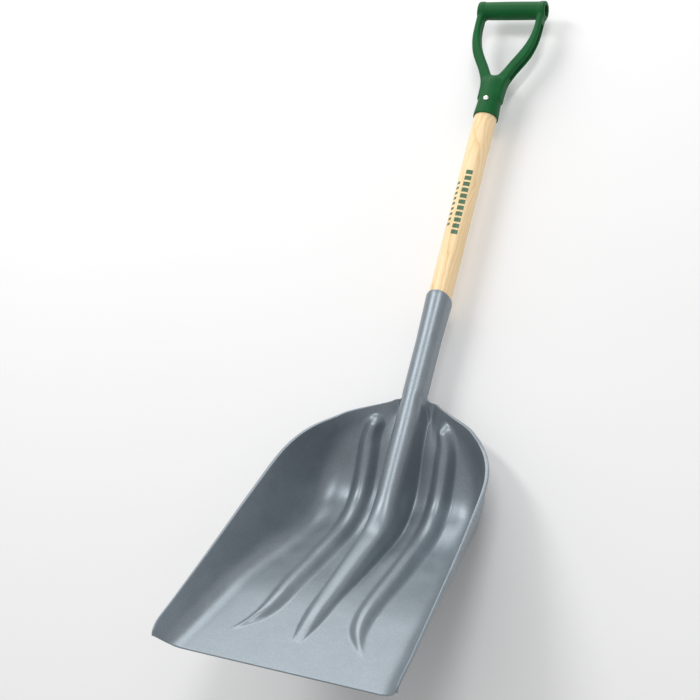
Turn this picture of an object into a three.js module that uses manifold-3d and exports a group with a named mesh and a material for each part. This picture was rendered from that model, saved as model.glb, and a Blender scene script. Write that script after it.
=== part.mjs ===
// Scoop-type snow shovel: a moulded scoop blade on a tapered wooden shaft with a moulded D-grip.
// Millimetres, +Z up. The shovel lies on the back of its blade, scoop open upwards, grip towards +Y.
// Working coordinates: u across, s along the shaft axis towards the grip, n out of the shaft's front.

import * as THREE from 'three';
import { mergeVertices } from 'three/addons/utils/BufferGeometryUtils.js';
import Module from 'manifold-3d';

const wasm = await Module();
wasm.setup();

const DEG = Math.PI / 180;

// ---- driving dimensions -------------------------------------------------------------------

const FIT = 0.3;                    // clearance left between assembled pieces

const SHAFT_R = 19;                 // 38 mm shaft
const MOUTH_S = -162.5;             // blade socket mouth, measured at the front of the shaft
const MOUTH_SLANT = 0.46;           // the mouth is cut back towards the rear of the shaft
const SOCKET_R_MOUTH = 22;
const SHAFT_TAPER_S = -188;         // the hidden end of the shaft tapers from here down
const SOCKET_R = 20;
const SOCKET_NECK_S = -245;         // where the socket reaches its slimmer radius
const SOCKET_END_S = -332;          // where the blade grows out of the socket
const BORE_BOTTOM_S = -338;
const BORE_R_NECK = 17.2;
const BORE_R_BOTTOM = 16.2;

const WALL = 3;                     // blade wall thickness
const PAN_TILT = 40.5 * DEG;        // pan against the shaft axis
const FRONT_S = -807;               // middle of the front edge
const FRONT_N = 221.6;
const BACK_N = -19;                 // inside of the back slope, which runs parallel to the shaft
const BEND_R = 120;                 // bend between pan and back slope
const LIP = 6;                      // rolled rim, wall included

const SIDE_FULLNESS = 1.4;
const CROWN_BLEND = 12;             // how softly the crown of the centre rib leaves the pan
const FRONT_P = 2;                  // the front edge, along the pan
const RIB_REAR_P = 503;             // centre of the domed rear end of the side ribs

const RIVET_S = 192.6;
const RIVET_HEAD_R = 4.8;
const RIVET_SHANK_R = 2.5;
const SCREW_S = -214;

const GRIP_MOUTH_S = 165;
const GRIP_BORE_END_S = 232;
const GRIP_BAR_S = 381;
const GRIP_BAR_R = 15.4;
const GRIP_HALF = 60;
const GRIP_DEPTH = 22;              // arms, front to back

// ---- materials ----------------------------------------------------------------------------

const silverPlastic = new THREE.MeshStandardMaterial({
  name: 'silver_plastic', color: 0x8f989d, roughness: 0.42, metalness: 0.25,
});
const ashWood = new THREE.MeshStandardMaterial({
  name: 'ash_wood', color: 0xe9cf9f, roughness: 0.5, metalness: 0,
});
const greenPlastic = new THREE.MeshStandardMaterial({
  name: 'green_plastic', color: 0x0f5a2e, roughness: 0.38, metalness: 0,
});
const zincSteel = new THREE.MeshStandardMaterial({
  name: 'zinc_steel', color: 0xc9ccce, roughness: 0.3, metalness: 1,
});

// ---- small helpers ------------------------------------------------------------------------

// Shape-preserving cubic through a few design stations, flat beyond both ends.
function track(xs, ys) {
  const n = xs.length;
  const h = xs.slice(1).map((x, i) => x - xs[i]);
  const d = h.map((w, i) => (ys[i + 1] - ys[i]) / w);
  const m = ys.map((_, i) => {
    if (i === 0) return d[0];
    if (i === n - 1) return d[n - 2];
    if (d[i - 1] * d[i] <= 0) return 0;
    const a = 2 * h[i] + h[i - 1];
    const b = h[i] + 2 * h[i - 1];
    return (a + b) / (a / d[i - 1] + b / d[i]);
  });
  return (x) => {
    if (x <= xs[0]) return ys[0];
    if (x >= xs[n - 1]) return ys[n - 1];
    let i = 0;
    while (x > xs[i + 1]) i += 1;
    const t = (x - xs[i]) / h[i];
    const t2 = t * t;
    const t3 = t2 * t;
    return (2 * t3 - 3 * t2 + 1) * ys[i] + (t3 - 2 * t2 + t) * h[i] * m[i]
      + (3 * t2 - 2 * t3) * ys[i + 1] + (t3 - t2) * h[i] * m[i + 1];
  };
}

const clamp01 = (x) => Math.min(1, Math.max(0, x));
const smooth = (x) => clamp01(x) ** 2 * (3 - 2 * clamp01(x));
const mix = (a, b, t) => a + (b - a) * t;
const vec = (u, s, n) => new THREE.Vector3(u, s, n);

function solidFromArrays(positions, triangles) {
  const g = new THREE.BufferGeometry();
  g.setAttribute('position', new THREE.Float32BufferAttribute(positions, 3));
  g.setIndex(triangles);
  return g;
}

function toManifold(geometry) {
  const g = geometry.clone();
  g.deleteAttribute('normal');
  g.deleteAttribute('uv');
  const merged = mergeVertices(g, 1e-4);
  return new wasm.Manifold(new wasm.Mesh({
    numProp: 3,
    vertProperties: Float32Array.from(merged.attributes.position.array),
    triVerts: Uint32Array.from(merged.index.array),
  }));
}

function fromManifold(manifold) {
  const mesh = manifold.getMesh();
  return solidFromArrays(Array.from(mesh.vertProperties), Array.from(mesh.triVerts));
}

// A body turned about the shaft axis; the profile is a list of [radius, s].
function turnedAboutShaft(profile, segments) {
  const points = profile.map(([r, s]) => new THREE.Vector2(r, s));
  return new THREE.LatheGeometry(points, segments);
}

// A body turned about a front-to-back axis at (0, s); the profile is a list of [radius, n].
function turnedFrontToBack(profile, segments, s) {
  const points = profile.map(([r, n]) => new THREE.Vector2(r, n));
  const g = new THREE.LatheGeometry(points, segments);
  g.rotateX(Math.PI / 2);
  g.translate(0, s, 0);
  return g;
}

// A body turned about a crosswise axis at (s, n = 0); the profile is a list of [radius, u].
function turnedCrosswise(profile, segments, s) {
  const points = profile.map(([r, u]) => new THREE.Vector2(r, u));
  const g = new THREE.LatheGeometry(points, segments);
  g.rotateZ(-Math.PI / 2);
  g.translate(0, s, 0);
  return g;
}

// ---- scoop blade --------------------------------------------------------------------------

const panU = Math.cos(PAN_TILT);
const panN = Math.sin(PAN_TILT);
const bendTangent = BEND_R * Math.tan(PAN_TILT / 2);
const panCorner = (FRONT_N - BACK_N) / panN;
const bendStart = panCorner - bendTangent;
const bendEnd = bendStart + BEND_R * PAN_TILT;
const backStartS = FRONT_S + panCorner * panU + bendTangent;
const rearEndP = bendEnd + (SOCKET_END_S - backStartS);

// A point given along the pan (v) and square to it (w), as (s, n).
const panPoint = (v, w) => [FRONT_S + panU * v + panN * w, FRONT_N - panN * v + panU * w];

// The pan, bend and back slope of the blade by unrolled length p: position and normal.
function straightFloor(p) {
  if (p <= bendStart) {
    const [s, n] = panPoint(p, 0);
    return { s, n, ns: panN, nn: panU };
  }
  if (p >= bendEnd) return { s: backStartS + (p - bendEnd), n: BACK_N, ns: 0, nn: 1 };
  const left = PAN_TILT - (p - bendStart) / BEND_R;
  return {
    s: backStartS - BEND_R * Math.sin(left),
    n: BACK_N + BEND_R * (1 - Math.cos(left)),
    ns: Math.sin(left),
    nn: Math.cos(left),
  };
}

// How far the bowl lies below that line: the scoop is deepest at the foot of its back slope.
const bowlDepth = track(
  [0, 140, 180, 210, 240, 270, 300, 330, 360, 390, 420, 450, 480, 510, 530],
  [0, 0, 3, 7, 11, 14, 17, 20, 23, 25, 22, 15, 6, 1, 0],
);

// The floor line of the blade at p: position, and the normal its ribs stand along.
function floorLine(p) {
  const f = straightFloor(p);
  const depth = bowlDepth(p);
  return { s: f.s - f.ns * depth, n: f.n - f.nn * depth, ns: f.ns, nn: f.nn };
}

// Rim outline: height over the pan plane and half-width, along the pan.
const rimHeight = track(
  [-11, -9, -4, 3, 14, 41, 79, 120, 161, 201, 242, 286, 329, 353, 377, 402, 412, 425, 438, 453, 462, 468,
    471.5, 478, 483, 491, 497, 504, 508, 511, 514, 516],
  [22, 26, 30, 32.5, 34.5, 37.5, 43.5, 50, 57, 64, 71.5, 80, 89, 94, 99.5, 105.5, 107.5, 110, 111, 112, 114.5, 116.5,
    118, 119.5, 120, 120.3, 120.6, 120.8, 121.5, 124, 130, 138],
);
const rimHalf = track(
  [-11, 3, 14, 79, 161, 242, 286, 329, 353, 377, 402, 412, 425, 438, 453, 462, 468, 471.5, 478, 483,
    491, 497, 504, 508, 511, 514, 516],
  [181, 182.6, 182.8, 181.3, 179.3, 177.3, 175.3, 172.8, 170.3, 165, 155, 149.5, 140.5, 131, 118, 109, 100, 92, 79.5, 71,
    59.5, 50, 40, 35, 30, 25.5, 22],
);

// Each cross row of the blade runs from the centreline over the floor to the heel of the wall
// and up to the rim. Rows are square to the centreline on the pan and fan out at the rear.
const ROW = [0, 4, 79, 161, 242, 280, 310, 340, 375, 411, 428, 446, 468, 481, 490, 502, 516, 537, rearEndP];
const rowCentre = track(
  ROW, [0, 4, 79, 161, 242, 280, 310, 340, 373, 403, 414, 426, 440, 450, 460, 474, 496, 527, rearEndP],
);
const rowRim = track(
  [FRONT_P, 5, 11, 22, ...ROW.slice(2)],
  [-11, -6.5, 2, 20, 79, 161, 242, 280, 306, 329, 341, 353, 377, 401.5, 432, 456, 470, 483, 498, 510, 516],
);
const heelHalf = track(
  ROW, [163, 162.5, 157, 152.5, 144, 140, 137, 135, 134, 133, 131, 125, 110, 96, 80, 55, 38, 28, 21],
);
const floorFillet = track(
  ROW, [18, 18, 21, 25, 30, 32, 34, 35, 36, 36, 36, 35, 33, 31, 29, 25, 12, 4, 2],
);
const wallFillet = track(
  ROW, [14, 18, 21, 25, 30, 32, 34, 35, 36, 36, 36, 34, 32, 28, 24, 21, 16, 6, 2],
);

// Centre rib: the lower end of the socket, which sinks into the pan towards its tip.
const RIB_P = [60, 75, 100, 130, 170, 230, 290, 340, 380, 411];
const ribRise = track(RIB_P, [0, 3, 8, 11, 12, 13.5, 14, 14, 14, 14]);
// On the pan the crown stands ribRise above it; further back it follows the top of the socket.
function ribHeight(p) {
  const f = straightFloor(p);
  const low = ribRise(p);
  const high = (SOCKET_R - f.n) / f.nn;
  const k = clamp01(0.5 + (high - low) / (2 * CROWN_BLEND));
  return mix(low, high, k) + CROWN_BLEND * k * (1 - k);
}
const ribFoot = track(RIB_P, [11, 13, 17, 20, 21, 23, 25, 26, 26, 26]);
const ribFlank = track(RIB_P, [6, 8, 11, 13, 14.5, 16, 17.5, 19, 20, SOCKET_R]);
const ribSteep = track(RIB_P, [35, 42, 48, 50, 52, 56, 64, 75, 85, 90]);

// Side ribs: centreline, half-width and height.
const SIDE_P = [58, 75, 90, 106, 137, 180, 240, 326, 420];
const sideCentre = track(SIDE_P, [98, 86, 77, 71, 67, 66.5, 66, 65, 65]);
const sideHalf = track(SIDE_P, [2, 6, 11, 14, 17, 19, 20.5, 21, 20]);
const sideHeight = track(SIDE_P, [0, 3, 6.5, 9, 11, 12, 13.5, 15, 16]);

function sideRib(p, u) {
  if (p < SIDE_P[0]) return 0;
  const along = Math.max(0, p - RIB_REAR_P);
  const off = Math.hypot(u - sideCentre(p), along) / sideHalf(p);
  return off < 1 ? sideHeight(p) * Math.cos(off ** SIDE_FULLNESS * Math.PI / 2) ** 2 : 0;
}

// The section of the centre rib as [u, height], from its crown (t = 0) to its foot (t = 1).
function ribSection(p, t, inset, fill) {
  const h = (ribHeight(p) + bowlDepth(p)) * (1 - fill);
  const foot = ribFoot(p);
  const flank = ribFlank(p) - inset;
  const mid = (ribHeight(p) * 0.487 + bowlDepth(p)) * (1 - fill);
  const steep = ribSteep(p) * DEG;
  const upper = 0.5523 * (h - mid);
  const lower = 0.55 * mid;
  const q = t < 0.62
    ? [[0, h], [0.5523 * flank, h],
      [flank - upper * Math.cos(steep), mid + upper * Math.sin(steep)], [flank, mid]]
    : [[flank, mid], [flank + lower * Math.cos(steep), mid - lower * Math.sin(steep)],
      [mix(foot, flank, 0.55), 0], [foot, 0]];
  const k = t < 0.62 ? t / 0.62 : (t - 0.62) / 0.38;
  const w = [(1 - k) ** 3, 3 * k * (1 - k) ** 2, 3 * k * k * (1 - k), k ** 3];
  return [0, 1].map((axis) => q.reduce((sum, point, i) => sum + w[i] * point[axis], 0));
}

const RIB_COLUMNS = [0, 0.14, 0.29, 0.44, 0.62, 0.8, 1];
const SIDE_COLUMNS = [-1, -0.62, -0.3, 0, 0.3, 0.62, 1];
const FILLET_COLUMNS = [0, 0.25, 0.5, 0.75, 1];

// One cross row without its side ribs: a list of points with their unrolled position.
function crossRow(row) {
  const pc = rowCentre(row);
  const uh = heelHalf(row);
  const rv = rowRim(row);
  const centre = floorLine(pc);
  const foot = ribFoot(pc);
  const onFloor = (p, u) => {
    const f = floorLine(p);
    return vec(u, f.s, f.n);
  };
  const [rs, rn] = panPoint(rv, rimHeight(rv));
  const [as, an] = panPoint(rv + 1, rimHeight(rv + 1));
  const [bs, bn] = panPoint(rv - 1, rimHeight(rv - 1));
  const rim = vec(rimHalf(rv), rs, rn);
  const along = vec(rimHalf(rv + 1) - rimHalf(rv - 1), as - bs, an - bn).normalize();
  const heel = onFloor(row, uh);
  const up = rim.clone().sub(heel).normalize();
  const out = along.clone().cross(up).normalize();
  const lip = LIP * smooth(row / 60) * 0.3 + LIP * 0.7;
  const inner = rim.clone().addScaledVector(out, -lip);
  const wallUp = inner.clone().sub(heel);
  const wallLength = wallUp.length();
  wallUp.normalize();

  const run = Math.hypot(row - pc, uh - foot);
  const at = (x) => [pc + (row - pc) * x / run, foot + (uh - foot) * x / run];
  const flat = Math.max(1, run - floorFillet(row));
  const points = [];
  RIB_COLUMNS.slice(0, -1).forEach((t) => {
    const [u, h] = ribSection(pc, t, 0, 0);
    points.push({ at: vec(u, centre.s + h * centre.ns, centre.n + h * centre.nn), p: pc, u, rib: t });
  });
  const slope = (uh - foot) / run;
  const tw = Math.min(wallFillet(row), wallLength * 0.8);
  const start = onFloor(...at(flat));
  const end = heel.clone().addScaledVector(wallUp, tw);
  const pathPoint = (x) => {
    if (x <= flat) return onFloor(...at(x));
    if (x >= run + tw) return heel.clone().addScaledVector(wallUp, x - run);
    const k = (x - flat) / (run + tw - flat);
    return start.clone().multiplyScalar((1 - k) ** 2)
      .addScaledVector(heel, 2 * k * (1 - k)).addScaledVector(end, k * k);
  };
  // Columns follow the side rib and the fillet on the pan, and are even at the rear.
  const stops = SIDE_COLUMNS.map((k) => (sideCentre(row) + k * sideHalf(row) - foot) / slope);
  const even = SIDE_COLUMNS.map((_, i) => flat * (i + 1) / (SIDE_COLUMNS.length + 1));
  const fits = slope > 0.5 ? clamp01((flat - stops[stops.length - 1]) / 12) : 0;
  const shaped = [
    0,
    ...stops.map((x, i) => mix(even[i], x, fits)),
    ...FILLET_COLUMNS.map((k) => flat + k * (run + tw - flat)),
    run + wallLength,
  ];
  const evenOut = smooth((row - 405) / 50);
  shaped.forEach((x, i) => {
    const y = mix(x, (run + wallLength) * i / (shaped.length - 1), evenOut);
    const [p, u] = at(y);
    points.push({ at: pathPoint(y), p, u, top: i === shaped.length - 1 });
  });
  return { points, rim, out, wallUp, pc, centre };
}

function gridNormals(rows) {
  return rows.map((row, i) => row.map((point, j) => {
    const before = rows[Math.max(0, i - 1)][j];
    const after = rows[Math.min(rows.length - 1, i + 1)][j];
    const left = row[Math.max(0, j - 1)];
    const right = row[Math.min(row.length - 1, j + 1)];
    return right.clone().sub(left).cross(after.clone().sub(before)).normalize();
  }));
}

const socketRadius = (s) => mix(
  SOCKET_R, SOCKET_R_MOUTH, clamp01((s - SOCKET_NECK_S) / (MOUTH_S - SOCKET_NECK_S)),
);
const mouthShift = (n, k) => MOUTH_SLANT * k * (n - SOCKET_R_MOUTH);

function scoopBlade() {
  const stations = [
    FRONT_P, 3.5, 6, 14, 36, 58, 70, 82, 95, 112, 137, 170, 205, 242, 280, 310, 330, 347, 364, 381, 398, 411,
    428, 446, 460, 474, 486, 495, 505, 516, 527, 537, 543, 549, 555, rearEndP,
  ];
  const crossRows = stations.map(crossRow);
  const base = crossRows.map((row) => row.points.map((q) => q.at));
  const baseNormals = gridNormals(base);
  const front = base.map((row, i) => row.map((q, j) => {
    const point = crossRows[i].points[j];
    const lift = point.rib === undefined && !point.top ? sideRib(point.p, point.u) : 0;
    return q.clone().addScaledVector(baseNormals[i][j], lift);
  }));
  const normals = gridNormals(front);
  const back = front.map((row, i) => row.map((q, j) => {
    const { points, pc, centre, wallUp } = crossRows[i];
    const point = points[j];
    if (point.rib !== undefined) {
      const fill = smooth((pc - 505) / 22);
      const [u, h] = ribSection(pc, point.rib, WALL * (1 - fill), fill);
      const level = h - WALL;
      return vec(u, centre.s + level * centre.ns, centre.n + level * centre.nn);
    }
    const offset = q.clone().addScaledVector(normals[i][j], -WALL);
    return point.top ? offset.addScaledVector(wallUp, -WALL) : offset;
  }));

  // Closed loops round the blade: front face, lip, back face; then the socket, then its bore.
  const columns = front[0].length;
  const loops = front.map((row, i) => {
    const { rim, wallUp } = crossRows[i];
    const underLip = rim.clone().addScaledVector(wallUp, -WALL);
    return [...row, rim, underLip, ...back[i].slice().reverse()];
  });
  const half = loops[0].length;
  const ribCount = RIB_COLUMNS.length - 1;
  const angles = [];
  for (let j = 0; j < half; j += 1) {
    const mirrored = j < half / 2 ? j : half - 1 - j;
    const angle = mirrored < ribCount
      ? 70 * mirrored / ribCount
      : 70 + 19.4 * (mirrored - ribCount) / (half / 2 - 1 - ribCount);
    angles.push((j < half / 2 ? angle : 180 - angle) * DEG);
  }
  const evenAngles = angles.map((_, j) => Math.PI * j / (half - 1));
  const ring = (s, r, spread, slant) => angles.map((a, j) => {
    const angle = mix(a, evenAngles[j], spread);
    const n = r * Math.cos(angle);
    return vec(r * Math.sin(angle), s + mouthShift(n, slant), n);
  });
  const morphStart = 530;
  loops.forEach((loop, i) => {
    const k = smooth((stations[i] - morphStart) / (rearEndP - morphStart));
    if (k === 0) return;
    const target = ring(floorLine(stations[i]).s, SOCKET_R, 0, 0);
    loop.forEach((q, j) => q.lerp(target[j], k));
  });
  [[-322, 0.35], [-310, 0.8], [-296, 1], [-245, 1], [-205, 1]].forEach(([s, spread]) => {
    loops.push(ring(s, socketRadius(s), spread, smooth((s + 250) / 80) * 0.5));
  });
  loops.push(ring(MOUTH_S - 0.8, SOCKET_R_MOUTH, 1, 1));
  loops.push(ring(MOUTH_S, SOCKET_R_MOUTH - 0.8, 1, 1));
  loops.push(ring(MOUTH_S, SHAFT_R + FIT, 1, 1));
  loops.push(ring(SHAFT_TAPER_S, SHAFT_R + FIT, 1, 0));
  loops.push(ring(SOCKET_NECK_S, BORE_R_NECK + FIT, 1, 0));
  loops.push(ring(BORE_BOTTOM_S, BORE_R_BOTTOM + FIT, 1, 0));

  // Both halves in one loop: the +u half, then the -u half the other way round.
  const around = 2 * half - 2;
  const positions = [];
  loops.forEach((loop) => {
    for (let j = 0; j < around; j += 1) {
      const mirrored = j >= half;
      const q = loop[mirrored ? around - j : j];
      const onPlane = j === 0 || j === half - 1;
      positions.push(onPlane ? 0 : (mirrored ? -q.x : q.x), q.y, q.z);
    }
  });
  const triangles = [];
  const index = (i, j) => i * around + ((j + around) % around);
  for (let i = 0; i < loops.length - 1; i += 1) {
    for (let j = 0; j < half - 1; j += 1) {
      triangles.push(index(i, j), index(i, j + 1), index(i + 1, j));
      triangles.push(index(i, j + 1), index(i + 1, j + 1), index(i + 1, j));
      triangles.push(index(i, -j - 1), index(i, -j), index(i + 1, -j));
      triangles.push(index(i, -j - 1), index(i + 1, -j), index(i + 1, -j - 1));
    }
  }
  // Front edge: front face column j against back face column j, on both halves.
  const last = half - 1;
  for (let j = 0; j < half / 2 - 1; j += 1) {
    triangles.push(index(0, j), index(0, last - j), index(0, j + 1));
    triangles.push(index(0, j + 1), index(0, last - j), index(0, last - j - 1));
    triangles.push(index(0, -j), index(0, -j - 1), index(0, last + j));
    triangles.push(index(0, -j - 1), index(0, last + j + 1), index(0, last + j));
  }
  // Bottom of the bore.
  const tip = positions.length / 3;
  positions.push(0, BORE_BOTTOM_S, 0);
  for (let j = 0; j < around; j += 1) {
    triangles.push(index(loops.length - 1, j), index(loops.length - 1, j + 1), tip);
  }
  if (columns * 2 + 2 !== half) throw new Error('blade columns do not close');
  return solidFromArrays(positions, triangles);
}

// Countersunk screw through the back of the socket into the shaft.
const screwFaceN = -(socketRadius(SCREW_S) - 0.25);
const screwProfile = (grow) => [
  [0, screwFaceN], [4 + grow, screwFaceN], [2.1 + grow, screwFaceN + 2.3], [2.1 + grow, screwFaceN + 16],
  [0, screwFaceN + 18 + grow],
];
const screwHole = [
  [0, screwFaceN - 6], [4.6, screwFaceN - 6], [4.6, screwFaceN - 0.1], [2.4, screwFaceN + 2.4],
  [2.4, screwFaceN + 16.3], [0, screwFaceN + 18.6],
];

// ---- D-grip -------------------------------------------------------------------------------

const armOuter = [
  [19.4, 205], [20.8, 220], [23.2, 232], [27.6, 244], [33, 256], [39.5, 268], [46, 280], [51.4, 292],
  [55, 305], [57.6, 317], [59, 329], [59.6, 345], [60, 362], [60, 380],
];
const armInner = [
  [5, 245.5], [10, 252], [16.5, 263], [23, 275], [30, 287], [36.5, 299], [41.6, 312], [45.4, 324],
  [47.6, 336], [48.3, 347], [48.3, 372],
];

function outlineShape(right) {
  const shape = new THREE.Shape();
  const left = right.map(([u, s]) => [-u, s]).reverse();
  [...right, ...left].forEach(([u, s], i) => (i ? shape.lineTo(u, s) : shape.moveTo(u, s)));
  shape.closePath();
  return shape;
}

function slab(shape, depth, bevel) {
  const g = new THREE.ExtrudeGeometry(shape, {
    depth: depth - 2 * bevel,
    bevelEnabled: bevel > 0,
    bevelThickness: bevel,
    bevelSize: bevel,
    bevelOffset: -bevel,
    bevelSegments: 2,
    steps: 1,
  });
  g.translate(0, 0, -depth / 2 + bevel);
  return g;
}

function dGrip() {
  const yoke = toManifold(slab(outlineShape(armOuter), GRIP_DEPTH, 4));
  const opening = toManifold(slab(outlineShape(armInner), GRIP_DEPTH + 20, 0));
  const socket = toManifold(turnedAboutShaft([
    [0, GRIP_MOUTH_S], [20.6, GRIP_MOUTH_S], [21.3, GRIP_MOUTH_S + 1], [21.2, 172], [19.9, 192],
    [19.4, 205], [19.2, 214], [18.7, 226], [17.5, 234], [13.5, 240], [0, 243],
  ], 40));
  const bar = toManifold(turnedCrosswise([
    [0, -GRIP_HALF + 0.5], [13.5, -GRIP_HALF + 0.5], [16.2, -GRIP_HALF + 2.5], [16.4, -49], [GRIP_BAR_R - 0.3, -45],
    [GRIP_BAR_R + 0.2, -20], [GRIP_BAR_R + 0.2, 20], [GRIP_BAR_R - 0.3, 45], [16.4, 49],
    [16.2, GRIP_HALF - 2.5], [13.5, GRIP_HALF - 0.5], [0, GRIP_HALF - 0.5],
  ], 32, GRIP_BAR_S));
  const channelShape = (side) => {
    const band = armOuter.slice(3, 12);
    const shape = new THREE.Shape();
    band.forEach(([u, s], i) => {
      const x = side * (u - 3.6);
      return i ? shape.lineTo(x, s - 2) : shape.moveTo(x, s + 2);
    });
    band.slice().reverse().forEach(([u, s]) => shape.lineTo(side * (u + 12), s - 6));
    shape.closePath();
    return toManifold(slab(shape, 12, 0));
  };
  const core = (side) => toManifold(turnedCrosswise(side > 0
    ? [[0, GRIP_HALF - 9], [9.5, GRIP_HALF - 9], [10.5, GRIP_HALF + 5], [0, GRIP_HALF + 5]]
    : [[0, -GRIP_HALF - 5], [10.5, -GRIP_HALF - 5], [9.5, -GRIP_HALF + 9], [0, -GRIP_HALF + 9]],
  24, GRIP_BAR_S));
  const bore = toManifold(turnedAboutShaft([
    [0, GRIP_MOUTH_S - 5], [SHAFT_R + FIT, GRIP_MOUTH_S - 5], [SHAFT_R + FIT, 168],
    [17.1 + FIT, 192], [15.6 + FIT, GRIP_BORE_END_S], [0, GRIP_BORE_END_S],
  ], 36));
  const rivetHole = toManifold(turnedFrontToBack([
    [0, -40], [6.1, -40], [6.1, -19.2], [RIVET_SHANK_R + FIT, -19.2], [RIVET_SHANK_R + FIT, 19.2],
    [RIVET_HEAD_R + 0.6, 19.2], [RIVET_HEAD_R + 0.6, 40], [0, 40],
  ], 20, RIVET_S));
  const body = yoke.subtract(opening).add(socket).add(bar)
    .subtract(channelShape(1)).subtract(channelShape(-1))
    .subtract(core(1)).subtract(core(-1)).subtract(bore).subtract(rivetHole);
  return fromManifold(body);
}

// ---- assembly -----------------------------------------------------------------------------

const rivetProfile = [
  [0, -21.9], [1.8, -21.8], [3.1, -21.4], [3.8, -20.8], [RIVET_SHANK_R, -20.8],
  [RIVET_SHANK_R, 19.5], [RIVET_HEAD_R, 19.5], [4.6, 20.6], [3.6, 21.6], [2, 22.2], [0, 22.4],
];
const washerProfile = [
  [RIVET_SHANK_R + FIT, -20.5], [5.5, -20.5], [5.5, -19.5], [RIVET_SHANK_R + FIT, -19.5],
  [RIVET_SHANK_R + FIT, -20.5],
];

const shaftBody = toManifold(turnedAboutShaft([
  [0, BORE_BOTTOM_S + 1], [BORE_R_BOTTOM - 1, BORE_BOTTOM_S + 1], [BORE_R_BOTTOM, BORE_BOTTOM_S + 3],
  [BORE_R_NECK, SOCKET_NECK_S], [SHAFT_R, SHAFT_TAPER_S], [SHAFT_R, 0], [SHAFT_R, 168], [17.1, 192],
  [15.6, GRIP_BORE_END_S - 2], [14.6, GRIP_BORE_END_S - 1], [0, GRIP_BORE_END_S - 1],
], 48));
const shaftGeometry = fromManifold(shaftBody
  .subtract(toManifold(turnedFrontToBack(
    [[0, -30], [RIVET_SHANK_R + FIT, -30], [RIVET_SHANK_R + FIT, 30], [0, 30]], 20, RIVET_S,
  )))
  .subtract(toManifold(turnedFrontToBack(screwHole, 20, SCREW_S))));

const bladeGeometry = fromManifold(toManifold(scoopBlade())
  .subtract(toManifold(turnedFrontToBack(screwHole, 20, SCREW_S))));

const pieces = [
  ['scoop_blade', bladeGeometry, silverPlastic],
  ['shaft', shaftGeometry, ashWood],
  ['d_grip', dGrip(), greenPlastic],
  ['grip_rivet', turnedFrontToBack(rivetProfile, 20, RIVET_S), zincSteel],
  ['grip_rivet_washer', turnedFrontToBack(washerProfile, 20, RIVET_S), zincSteel],
  ['socket_screw', turnedFrontToBack(screwProfile(0), 20, SCREW_S), zincSteel],
];

const shovel = new THREE.Group();
shovel.name = 'snow_shovel';
const bounds = new THREE.Box3();
pieces.forEach(([name, geometry, material]) => {
  geometry.computeVertexNormals();
  geometry.computeBoundingBox();
  bounds.union(geometry.boundingBox);
  const mesh = new THREE.Mesh(geometry, material);
  mesh.name = name;
  shovel.add(mesh);
});

// Origin at the middle of the underside of the whole shovel.
const middle = bounds.getCenter(new THREE.Vector3());
shovel.children.forEach((mesh) => mesh.geometry.translate(0, -middle.y, -bounds.min.z));

export default shovel;
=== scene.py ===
"""Looks of the snow shovel: moulded scoop blade, ash shaft, D-grip and fasteners, with camera and studio.

Shapes are worked out in millimetres in the shovel's own directions: u across, s along the shaft axis
towards the grip, n out of the front of the shaft. to_row() turns them into the frame's metres.
"""

import math

import bpy
import numpy as np
import openvdb
from mathutils import Matrix, Vector


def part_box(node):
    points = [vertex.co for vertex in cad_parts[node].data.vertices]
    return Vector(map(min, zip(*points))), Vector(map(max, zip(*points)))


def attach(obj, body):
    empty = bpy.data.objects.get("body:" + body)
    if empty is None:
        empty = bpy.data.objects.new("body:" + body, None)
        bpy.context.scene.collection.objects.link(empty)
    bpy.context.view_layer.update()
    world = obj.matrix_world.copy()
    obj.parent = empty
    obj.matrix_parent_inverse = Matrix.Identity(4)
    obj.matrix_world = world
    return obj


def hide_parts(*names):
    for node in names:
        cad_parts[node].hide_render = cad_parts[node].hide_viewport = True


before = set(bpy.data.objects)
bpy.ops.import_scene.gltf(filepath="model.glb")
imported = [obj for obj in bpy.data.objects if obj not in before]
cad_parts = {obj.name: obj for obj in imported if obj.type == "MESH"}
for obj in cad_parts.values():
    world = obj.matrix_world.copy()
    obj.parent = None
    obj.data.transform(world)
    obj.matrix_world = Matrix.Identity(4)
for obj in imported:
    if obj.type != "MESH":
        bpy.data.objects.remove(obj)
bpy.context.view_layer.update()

# ---- driving dimensions, mm ---------------------------------------------------------------

SHAFT_R = 19.0
SHAFT_BOTTOM_S = -337.0
SHAFT_TOP_S = 231.0
MOUTH_S = -162.5
MOUTH_SLANT = 0.46
SOCKET_R_MOUTH = 22.0
SOCKET_R = 20.0
SOCKET_NECK_S = -245.0
SOCKET_END_S = -332.0
SHAFT_TAPER_S = -188.0
BORE_BOTTOM_S = -338.0
BORE_R_NECK = 17.2
BORE_R_BOTTOM = 16.2
FIT = 0.3

WALL = 3.0
PAN_TILT = math.radians(40.5)
FRONT_S = -807.0
FRONT_N = 221.6
BACK_N = -19.0
BEND_R = 120.0
BEND_EASE = 11.0
RIB_REAR_P = 503.0
SIDE_FULLNESS = 1.4
CROWN_BLEND = 26.0
FRONT_P = 2.0

RIVET_S = 192.6
RIVET_HEAD_R = 4.8
RIVET_SHANK_R = 2.5
SCREW_S = -214.0

GRIP_MOUTH_S = 165.0
GRIP_BAR_S = 381.0
GRIP_HALF = 59.8

CIRCLE_HANDLE = 0.5523              # length of a quarter circle's bezier handle over its radius
SOCKET_COLLAR_S = -206.0            # from here to the mouth the socket's rings lean with its slant
MORPH_START_P = 530.0               # the blade's section turns into the round socket behind here
RIB_FILL_P = 505.0                  # the groove under the centre rib closes behind here
RIB_FILL_RUN = 22.0
MOUTH_EDGE_R = 0.9
BORE_EDGE_R = 0.6

# The shaft's own CAD box places these directions in the frame.
shaft_low, shaft_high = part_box("shaft")
SHIFT_S = shaft_low.y * 1000 - SHAFT_BOTTOM_S
AXIS_N = (shaft_low.z + shaft_high.z) * 500


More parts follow.
